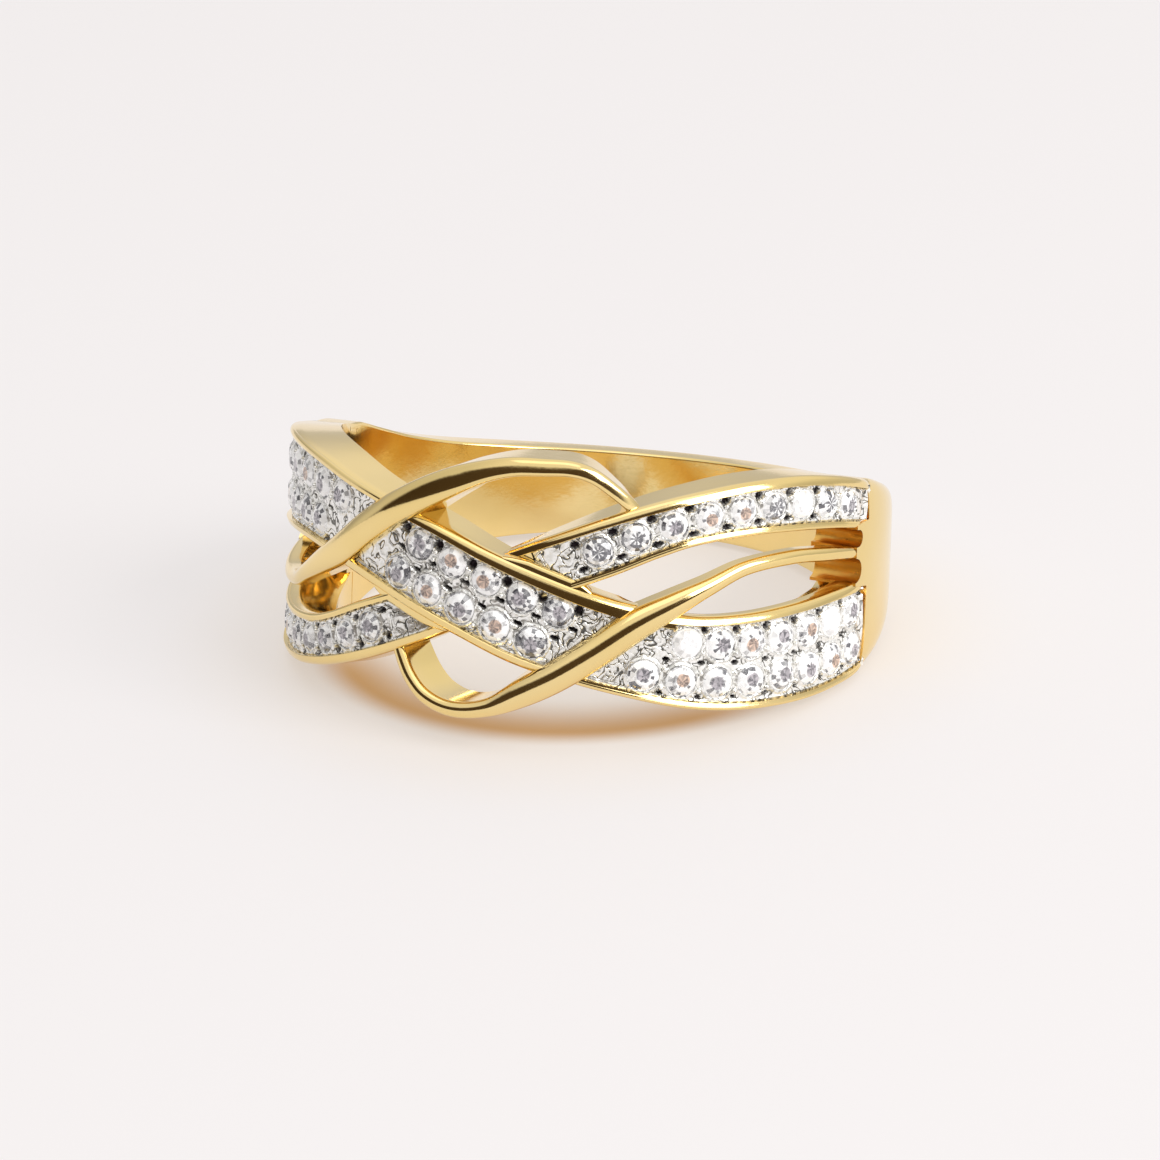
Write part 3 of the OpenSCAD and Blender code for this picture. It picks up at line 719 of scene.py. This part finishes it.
def brilliant(d):
    """One stone about its own axis, its girdle at height 0: table, star, kite, girdle and
    pavilion facets."""
    r, half_step = d / 2, math.pi / 8
    points = circle(8, TABLE_SHARE * r, CROWN_H) + circle(8, 0.8 * r, CROWN_H * 0.52, half_step)
    points += circle(16, r, 0) + circle(16, r, -GIRDLE_H)
    points += circle(8, 0.3 * r, -GIRDLE_H - PAVILION_H * 0.72, half_step)
    points += [(0, 0, -GIRDLE_H - PAVILION_H)]
    table, star, girdle, under, pavilion, culet = 0, 8, 16, 32, 48, 56
    faces = [tuple(range(8))]
    for k in range(8):
        after, before = (k + 1) % 8, (k - 1) % 8
        here, next_one, last_one = 2 * k, 2 * k + 1, (2 * k + 2) % 16
        faces += [(table + k, star + k, table + after),
                  (table + k, star + before, girdle + here, star + k),
                  (star + k, girdle + here, girdle + next_one),
                  (star + k, girdle + next_one, girdle + last_one),
                  (under + here, pavilion + before, culet, pavilion + k),
                  (under + next_one, under + here, pavilion + k),
                  (under + last_one, under + next_one, pavilion + k)]
    faces += [(girdle + k, under + k, under + (k + 1) % 16, girdle + (k + 1) % 16) for k in range(16)]
    mesh = bpy.data.meshes.new("brilliant")
    mesh.from_pydata([tuple(MM * c for c in point) for point in points], [], faces)
    chart = mesh.uv_layers.new(name="stone")
    for loop in mesh.loops:
        point = points[loop.vertex_index]
        chart.data[loop.index].uv = (point[0] / d + 0.5, point[1] / d + 0.5)
    return mesh


FULL_TURN = 6.283
setting_tree, given, result = geometry_tree("one_on_each_point", [
    ("Copy", "NodeSocketObject"), ("Finish", "NodeSocketMaterial"), ("Seed", "NodeSocketInt")])
copied = setting_tree.nodes.new("GeometryNodeObjectInfo")
axis = setting_tree.nodes.new("GeometryNodeInputNamedAttribute")
axis.data_type = "FLOAT_VECTOR"
axis.inputs["Name"].default_value = "axis"
stood = setting_tree.nodes.new("FunctionNodeAlignRotationToVector")
stood.axis = "Z"
spin = setting_tree.nodes.new("FunctionNodeRandomValue")
spin.inputs["Max"].default_value = FULL_TURN
turned_by = setting_tree.nodes.new("FunctionNodeAxisAngleToRotation")
turned_by.inputs["Axis"].default_value = (0, 0, 1)
both = setting_tree.nodes.new("FunctionNodeRotateRotation")
both.rotation_space = "LOCAL"
placed = setting_tree.nodes.new("GeometryNodeInstanceOnPoints")
realized = setting_tree.nodes.new("GeometryNodeRealizeInstances")
coat = setting_tree.nodes.new("GeometryNodeSetMaterial")
chain(setting_tree, given.outputs["Copy"], copied.inputs["Object"],
      axis.outputs["Attribute"], stood.inputs["Vector"],
      given.outputs["Seed"], spin.inputs["Seed"],
      spin.outputs[1], turned_by.inputs["Angle"],
      stood.outputs["Rotation"], both.inputs["Rotation"],
      turned_by.outputs["Rotation"], both.inputs["Rotate By"],
      given.outputs["Geometry"], placed.inputs["Points"],
      copied.outputs["Geometry"], placed.inputs["Instance"],
      both.outputs["Rotation"], placed.inputs["Rotation"],
      placed.outputs["Instances"], realized.inputs["Geometry"],
      realized.outputs["Geometry"], coat.inputs["Geometry"],
      given.outputs["Finish"], coat.inputs["Material"],
      coat.outputs["Geometry"], result.inputs["Geometry"])


def one_on_each(name, spots, radius, copy, finish, seed, tones=(0, 0.5), clear=(), brown_reflecting=()):
    """Copies of a small thing, stood along the radius on spots of angle and height. Each has a number of its
    own between the tones, apart from those set to show only painted light or a painted brown reflection."""
    spots = np.asarray(spots, float)
    points = lying(on_ring(spots[:, 0], spots[:, 1], radius))
    below = lying(on_ring(spots[:, 0], spots[:, 1], radius - 1))
    mesh = bpy.data.meshes.new(name)
    mesh.from_pydata([tuple(p) for p in points], [], [])
    layer = mesh.attributes.new("axis", "FLOAT_VECTOR", "POINT")
    layer.data.foreach_set("vector", ((points - below) / MM).astype(np.float32).ravel())
    own = tones[0] + np.random.default_rng(seed).random(len(spots)) * (tones[1] - tones[0])
    own[list(clear)], own[list(brown_reflecting)] = LIGHT_ONLY_STONE, BROWN_REFLECTION_STONE
    mesh.attributes.new("own", "FLOAT", "POINT").data.foreach_set("value", own.astype(np.float32))
    piece = bpy.data.objects.new(name, mesh)
    bpy.context.scene.collection.objects.link(piece)
    return made_plain(piece, setting_tree, {"Copy": copy, "Finish": finish, "Seed": seed})


def bead(r):
    """A low round bead of metal, raised with a graver."""
    points = [(0, 0, r)]
    for share, height in ((0.55, 0.82), (0.9, 0.42), (1.0, -0.1), (0.95, -0.7)):
        points += circle(8, r * share, r * height)
    faces = [(0, 1 + k, 1 + (k + 1) % 8) for k in range(8)]
    for first in (1, 9, 17):
        faces += [(first + k, first + 8 + k, first + 8 + (k + 1) % 8, first + (k + 1) % 8) for k in range(8)]
    faces += [tuple(25 + k for k in range(7, -1, -1))]
    mesh = bpy.data.meshes.new("bead")
    mesh.from_pydata([tuple(MM * c for c in point) for point in points], [], faces)
    mesh.shade_smooth()
    return mesh


white = white_metal()
stone_finish = stone_painted_sparkle()
# Things to be copied, which aren't shown by themselves.
double_stone = bpy.data.objects.new("double_row_stone", brilliant(STONE_D))
single_stone = bpy.data.objects.new("single_row_stone", brilliant(ROW_STONE_D))
small_bead = bpy.data.objects.new("small_bead", bead(BEAD_R))


def row(first, start, end):
    """Angles one pitch apart, numbered from start up to end, with the first at number 0."""
    return first + np.arange(start, end) * PITCH


def spots_along(rows, angles, v):
    """Spots at some angles along a strand, at a distance across it."""
    angle, z = across(rows, angles, np.full((len(angles), 1), float(v)))
    return np.stack((angle[:, 0], z[:, 0]), 1)


def pits_at(angles, v, along, broad):
    """Pits at some angles along a strand: angle, distance across it and two half sizes."""
    return np.stack((angles, 0 * angles + v, 0 * angles + along, 0 * angles + broad), 1)


def half_turned(spots):
    """Spots or pits on the other side of the front: the first two of their values turn."""
    other = np.array(spots, float)
    other[:, :2] *= -1
    return other


# The double rows on a wing of the wide ribbon: side of its middle, first stone, number of
# stones. The panel's rows are counted from the middle of the front, and shifted against each
# other. Pits and beads lie half a pitch from the stones.
HALF_PITCH = PITCH / 2
LOWER_FIRST, UPPER_FIRST = 33.4, 40.4
DOUBLE_ROWS = ((-1, LOWER_FIRST, 8), (1, UPPER_FIRST, 7))
PANEL_SHIFT = STAGGER * PITCH
wide_stones = np.concatenate([spots_along(WIDE_ROWS, row(first, 0, count), side * ROW_GAP / 2)
                              for side, first, count in DOUBLE_ROWS])
wide_pits = np.concatenate((pits_at(row(UPPER_FIRST + HALF_PITCH, -1, 7), 1.14, 0.14, 0.1),
                            pits_at(row(LOWER_FIRST + HALF_PITCH, 0, 7), 0.02, 0.13, 0.06),
                            pits_at(row(LOWER_FIRST + HALF_PITCH, 0, 7), -1.14, 0.09, 0.05)))
wide_beads = np.concatenate(
    [spots_along(WIDE_ROWS, row(first + HALF_PITCH, 0, count - 1), side * (ROW_GAP / 2 + away))
     for side, first, count in DOUBLE_ROWS for away in (-0.32, 0.3)])
panel_stones = np.concatenate([spots_along(WIDE_ROWS, row(side * PANEL_SHIFT, -2, 3), side * ROW_GAP / 2)
                               for side in (-1, 1)])
panel_pits = np.concatenate((pits_at(row(PANEL_SHIFT + HALF_PITCH, -3, 3), 0.9, 0.18, 0.17),
                             pits_at(row(PANEL_SHIFT + HALF_PITCH, -3, 3), 0.24, 0.17, 0.07),
                             pits_at(row(HALF_PITCH - PANEL_SHIFT, -2, 3), -0.24, 0.17, 0.07)))
panel_beads = np.concatenate([spots_along(WIDE_ROWS, row(side * PANEL_SHIFT + HALF_PITCH, -2, 2), v)
                              for side, v in ((1, 0.4), (1, 0.68), (-1, -0.35), (-1, -0.95))])

# The single row of the narrow ribbon.
NARROW_FIRST = 23.4
narrow_stones = spots_along(NARROW_ROWS, row(NARROW_FIRST, 0, 9), 0)
narrow_pits = np.concatenate((pits_at(row(NARROW_FIRST - HALF_PITCH, 0, 8), 0.44, 0.16, 0.12),
                              pits_at(row(NARROW_FIRST - HALF_PITCH, 0, 8), -0.44, 0.18, 0.08)))
narrow_beads = np.concatenate([spots_along(NARROW_ROWS, row(NARROW_FIRST + HALF_PITCH, 0, 8), v)
                               for v in (0.26, -0.26)])


def crossing(a):
    """Height of the lower band's middle line where it crosses the wide ribbon."""
    return level(LOWER_BAND, np.clip(a, LOWER_BAND[0, 0] + 0.5, LOWER_BAND[-1, 0]), LOWER_REACH)


def within_wing(a, z):
    """Whether a place is on the right wing, beyond the lower band."""
    return z < crossing(a)


def within_panel(a, z):
    """Whether a place is on the panel, between the two bands."""
    return (z > crossing(a)) & (-z > crossing(-a))


def clear_of_wide(a, z):
    """Whether a place on the right is above the wide ribbon and clear of its edge."""
    edge = level(WIDE_ROWS, a) + read(WIDE_ROWS, a)[:, 2] * WIDE_W / 2
    return z > edge + BED_CLEAR


# A field: its ribbon, the angles where it starts and ends, its stones and their size, its
# pits, its beads, where its bed is kept, and the stone that is copied. Those on the right are
# given here, and the narrow one starts earlier on the left.
Field = namedtuple("Field", "rows w start end stones stone_d pits beads keep copy")
BED_CLEAR = 0.14
PANEL_END = 33
WING_START = 14
NARROW_START, NARROW_START_LEFT = 12.3, 10
BED_END = 86.6
panel = Field(WIDE_ROWS, WIDE_W, -PANEL_END, PANEL_END, panel_stones, STONE_D, panel_pits,
              panel_beads, within_panel, double_stone)
wide = Field(WIDE_ROWS, WIDE_W, WING_START, BED_END, wide_stones, STONE_D, wide_pits,
             wide_beads, within_wing, double_stone)
narrow = Field(NARROW_ROWS, NARROW_W, NARROW_START, BED_END, narrow_stones, ROW_STONE_D,
               narrow_pits, narrow_beads, clear_of_wide, single_stone)


def turned(field):
    """The same field on the left, half turned about the middle of the front."""
    return field._replace(start=-field.end, end=-field.start, stones=half_turned(field.stones),
                          pits=half_turned(field.pits), beads=half_turned(field.beads),
                          keep=lambda a, z: field.keep(-a, -z))


def distances(angle, z, spots):
    """Distance over the surface from each point to its nearest spot."""
    best = np.full(angle.shape, 9.0)
    for spot_a, spot_z in spots:
        best = np.minimum(best, np.hypot((angle - spot_a) * DEGREE, z - spot_z))
    return best


def nearness(a, v, pits):
    """How far each point of a bed lies inside its nearest pit: 1 in it, 0 outside. A pit is an
    angle along the strand, a distance across it and its two half sizes."""
    uneven = 0.25 * np.sin(a * 23 + v * 17) * np.sin(a * 13 - v * 29)
    best = 0 * (a + v)
    for pit_a, pit_v, along, broad in pits:
        share = np.hypot((a - pit_a) * DEGREE * 1.15 / along, (v - pit_v) / broad)
        best = np.maximum(best, np.clip((1.2 + uneven - share) / 0.4, 0, 1))
    return best


# A bed's net, in degrees along and mm across, its margin beside the ribbon's edge, and how far
# its floor stands over the trough's. Then the raised rim round a stone, and how deep its seat,
# the open ground and the pits are.
BED_STEP = 0.24
BED_NET = 0.045
BED_MARGIN = RAIL_W * 0.6
FLOOR_GAP = 0.02
RIM_W, RIM_H = 0.035, 0.045
SEAT_D, GROUND_D, PIT_D = 0.1, 0.03, 0.2
# Beside the rail, a line of painted shade and a ridge, each with its place and width. The bed follows the
# ribbon's dip up to DIP_TO, and rises again at the shoulder.
SHADE_LINE_V, SHADE_LINE_W = 0.285, 0.022
RIDGE_V, RIDGE_W = 0.34, 0.03
DIP_TO = 30
END_FROM, END_OVER, END_RISE = 85.2, 1.1, 0.12


def bed_mesh(name, field, finish):
    """The cut top of a plate over a fine net of points, closed down to the trough's floor."""
    a = np.arange(field.start, field.end + 0.01, BED_STEP)
    at = read(field.rows, a)
    half = (field.w * at[:, 2] / 2 - BED_MARGIN)[:, None]
    v = half * np.linspace(-1, 1, int(field.w * 0.9 / BED_NET))[None]
    angle, z = across(field.rows, a, v)
    stone_r, to_stone = field.stone_d / 2, distances(angle, z, field.stones)
    pit = nearness(a[:, None], v, field.pits)
    by_edge = half + BED_MARGIN - np.abs(v)
    rim = np.exp(-((to_stone - stone_r - RIM_W) / RIM_W) ** 2)
    ridge = np.exp(-((by_edge - RIDGE_V) / RIDGE_W) ** 2)
    # A line of painted shade beside the rail, broken along its length; it has no depth of its own.
    line = np.exp(-((by_edge - SHADE_LINE_V) / SHADE_LINE_W) ** 2) * np.clip(0.6 + np.sin(angle * 3.1) * 0.6, 0, 1)
    open_ground = np.clip((to_stone - stone_r - 0.08) / 0.08, 0, 1)
    dip = np.where(np.abs(a) < DIP_TO, at[:, 3], 0)[:, None]
    rise = END_RISE * np.clip((np.abs(a) - END_FROM) / END_OVER, 0, 1)[:, None] ** 2
    plain = HEAD_R - BED_DROP
    height = plain + RIM_H * np.maximum(rim, ridge) - GROUND_D * open_ground - PIT_D * pit - dip + rise
    height = np.where(to_stone < stone_r - 0.01, plain - SEAT_D, height)
    # Where the white metal gets painted shade: in the pits and along the line beside the rail.
    dark = np.maximum(pit, line * 0.9)
    n, m = angle.shape
    top = on_ring(angle, z, height).reshape(-1, 3)
    floor = on_ring(angle, z, 0 * height + HEAD_R - TROUGH_D + FLOOR_GAP).reshape(-1, 3)
    i, j = np.meshgrid(np.arange(n - 1), np.arange(m - 1), indexing="ij")
    quads = np.stack((i * m + j, i * m + j + 1, (i + 1) * m + j + 1, (i + 1) * m + j), -1).reshape(-1, 4)
    quads = quads[field.keep(angle.ravel()[quads].mean(1), z.ravel()[quads].mean(1))]
    edges = np.concatenate([quads[:, [k, (k + 1) % 4]] for k in range(4)]).tolist()
    known = set(map(tuple, edges))
    border = np.array([edge for edge in edges if (edge[1], edge[0]) not in known])
    corner, beside, below = (top[quads[:, k]] for k in (0, 1, 3))
    if np.einsum("ij,ij->", corner, np.cross(beside - corner, below - corner)) < 0:
        quads, border = quads[:, ::-1], border[:, ::-1]
    size = n * m
    walls = np.stack((border[:, 1], border[:, 0], border[:, 0] + size, border[:, 1] + size), 1)
    faces = np.concatenate((quads, quads[:, ::-1] + size, walls))
    used, numbered = np.unique(faces, return_inverse=True)
    points = lying(np.concatenate((top, floor)))[used]
    piece = add_mesh(name, points, numbered.reshape(-1, 4), [finish], 60)
    for label, values in (("pit", dark), ("open", open_ground)):
        layer = piece.data.attributes.new(label, "FLOAT", "POINT")
        values = np.concatenate((values.ravel(), 0 * values.ravel()))[used]
        layer.data.foreach_set("value", values.astype(np.float32))
    return piece


def joined(name, pieces):
    """One piece made of several."""
    with bpy.context.temp_override(active_object=pieces[0], selected_editable_objects=pieces,
                                   selected_objects=pieces, object=pieces[0]):
        bpy.ops.object.join()
    pieces[0].name = name
    pieces[0].data.name = name
    return pieces[0]


# Each field with the tones of the painted reflections in its stones, and the numbers of those painted with
# nothing but light and those painted with a brown reflection.
for seed, (part, field, tones, clear, brown_reflecting) in enumerate((
        ("panel", panel, (0.34, 0.5), (), (1, 3, 6, 7)),
        ("wide_right", wide, (0.2, 0.36), (8, 13), (1, 6, 10, 12)),
        ("wide_left", turned(wide), (0.2, 0.5), (), (2, 11)),
        ("narrow_right", narrow, (0.0, 0.24), (6,), (3, 4)),
        ("narrow_left", turned(narrow._replace(start=NARROW_START_LEFT)), (0.2, 0.5), (), (5,)))):
    bed = bed_mesh("bed_" + part, field, white)
    gems = one_on_each("gems_" + part, field.stones, HEAD_R - BED_DROP - STONE_SUNK, field.copy,
                       stone_finish, seed, tones, clear, brown_reflecting)
    grains = one_on_each("grains_" + part, field.beads, HEAD_R - BED_DROP + BEAD_PROUD, small_bead,
                         white, seed + 20)
    pave = joined("pave_" + part, [bed, gems, grains])
    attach(pave, "root")
    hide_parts("plate_" + part, "stones_" + part)


# Table, light and camera
# The ring lies on a pale table under a soft tent of light, with the glow of its gold round the edge painted
# on the table. A dim band low in front gives the polished gold its dark streaks.
TABLE_HALF = 0.6


def table_finish():
    """A pale matt table that glows evenly, with a faint painted glow of reflected gold round the ring and a
    painted golden-brown shadow under its front.
    """
    f = Finish("pale_table")
    place = f.node("ShaderNodeTexCoord", {}, {}, "Object")
    cloud = f.node("ShaderNodeTexNoise", {}, {"Vector": place, "Scale": 12, "Detail": 2})
    plain = f.mix(cloud, (0.935, 0.9, 0.9), (0.95, 0.92, 0.92))
    away = f.length(place)
    # Painted light: a faint glow of reflected gold on the table round the ring.
    painted_gold_glow = f.mix((1 - away.clamped(0.009, 0.016)) * 0.2, plain, (0.96, 0.79, 0.57))
    # Painted shadow and reflected gold: a golden-brown band under the ring's front edge.
    in_front = 1 - f.part(place, 1).clamped(-0.006, -0.001)
    painted_shadow_under_front = away.clamped(0.0055, 0.0088) * (1 - away.clamped(0.0084, 0.0098)) * in_front
    colour = f.mix(painted_shadow_under_front * 0.9, painted_gold_glow, (0.6, 0.31, 0.08))
    # The painted glow and shadow are also in the emission colour, so they glow with the table.
    f.fill(f.shader, {"Base Color": f.mix(0.65, colour, (0.0, 0.0, 0.0)), "Roughness": 0.6,
                      "Emission Color": colour, "Emission Strength": 0.56, "Specular IOR Level": 0.1})
    return f.material


corners = [(x * TABLE_HALF, y * TABLE_HALF, 0) for x, y in ((-1, -1), (1, -1), (1, 1), (-1, 1))]
add_mesh("table", corners, [(0, 1, 2, 3)], [table_finish()])

world = bpy.data.worlds.new("tent")
bpy.context.scene.world = world
world.use_nodes = True
sky = Nodes(world.node_tree)
direction = sky.node("ShaderNodeTexCoord", {}, {}, "Generated")
x, y, z = (sky.part(direction, axis) for axis in range(3))
dim = z.clamped(0.0, 0.04) * z.clamped(0.64, 0.52) * y.clamped(-0.2, -0.45)
low_behind = z.clamped(0.5, 0.05) * y.clamped(-0.1, 0.4)
on_left = x.clamped(-0.3, -0.9)
sky.fill(sky.tree.nodes["Background"], {"Color": sky.mix(dim, (0.9, 0.885, 0.87), (0.07, 0.046, 0.026)),
                                        "Strength": (1.03 - low_behind * 0.36) * (1 - on_left * 0.3)})


def facing(place, right, up, back):
    """The matrix of a lamp or a camera at a place, which looks away from its back."""
    turn = np.stack((right, up, back), 1)
    return Matrix([[*row, p] for row, p in zip(turn, place)] + [[0, 0, 0, 1]])


def softbox(name, place, size, power, aim=(0, 0, 0.004)):
    """A flat rectangular lamp at a place, facing what it is aimed at."""
    light = bpy.data.lights.new(name, "AREA")
    light.shape = "RECTANGLE"
    light.size, light.size_y = size
    light.energy = power
    lamp = bpy.data.objects.new(name, light)
    bpy.context.scene.collection.objects.link(lamp)
    back = np.array(place) - np.array(aim)
    back = back / np.linalg.norm(back)
    right = np.cross((0, 0, 1), back)
    right = right / np.linalg.norm(right)
    lamp.matrix_world = facing(place, right, np.cross(back, right), back)


softbox("key_right", (0.29, -0.07, 0.2), (0.24, 0.2), 0.8)
softbox("top", (0.02, -0.06, 0.36), (0.3, 0.24), 0.12)

# The camera stands to the right, a little above the ring, and turns by two degrees. It is
# placed by the upright ring, in mm.
AZIMUTH, ELEVATION, ROLL = math.radians(21.837), math.radians(12.001), math.radians(1.999)
DISTANCE, ASIDE, BELOW = 249.99, -0.3326, -1.3793
FOCAL_PX, PHOTO_PX = 7255.48, 1160
SENSOR_W = 36
back = np.array((math.sin(AZIMUTH) * math.cos(ELEVATION), -math.cos(AZIMUTH) * math.cos(ELEVATION),
                 math.sin(ELEVATION)))
right = np.array((math.cos(AZIMUTH), math.sin(AZIMUTH), 0))
up = np.cross(back, right)
right, up = (right * math.cos(ROLL) + up * math.sin(ROLL), up * math.cos(ROLL) - right * math.sin(ROLL))
eye = back * DISTANCE + right * ASIDE + up * BELOW
axes = [(lying(axis) - lying((0, 0, 0))) / MM for axis in (right, up, back)]
camera_data = bpy.data.cameras.new("camera")
camera_data.sensor_fit = "HORIZONTAL"
camera_data.sensor_width = SENSOR_W
camera_data.lens = FOCAL_PX / PHOTO_PX * SENSOR_W
camera_data.clip_start, camera_data.clip_end = 0.01, 10
camera = bpy.data.objects.new("camera", camera_data)
bpy.context.scene.collection.objects.link(camera)
camera.matrix_world = facing(lying(eye), *axes)
bpy.context.scene.camera = camera
bpy.context.scene.view_settings.view_transform = "Standard"
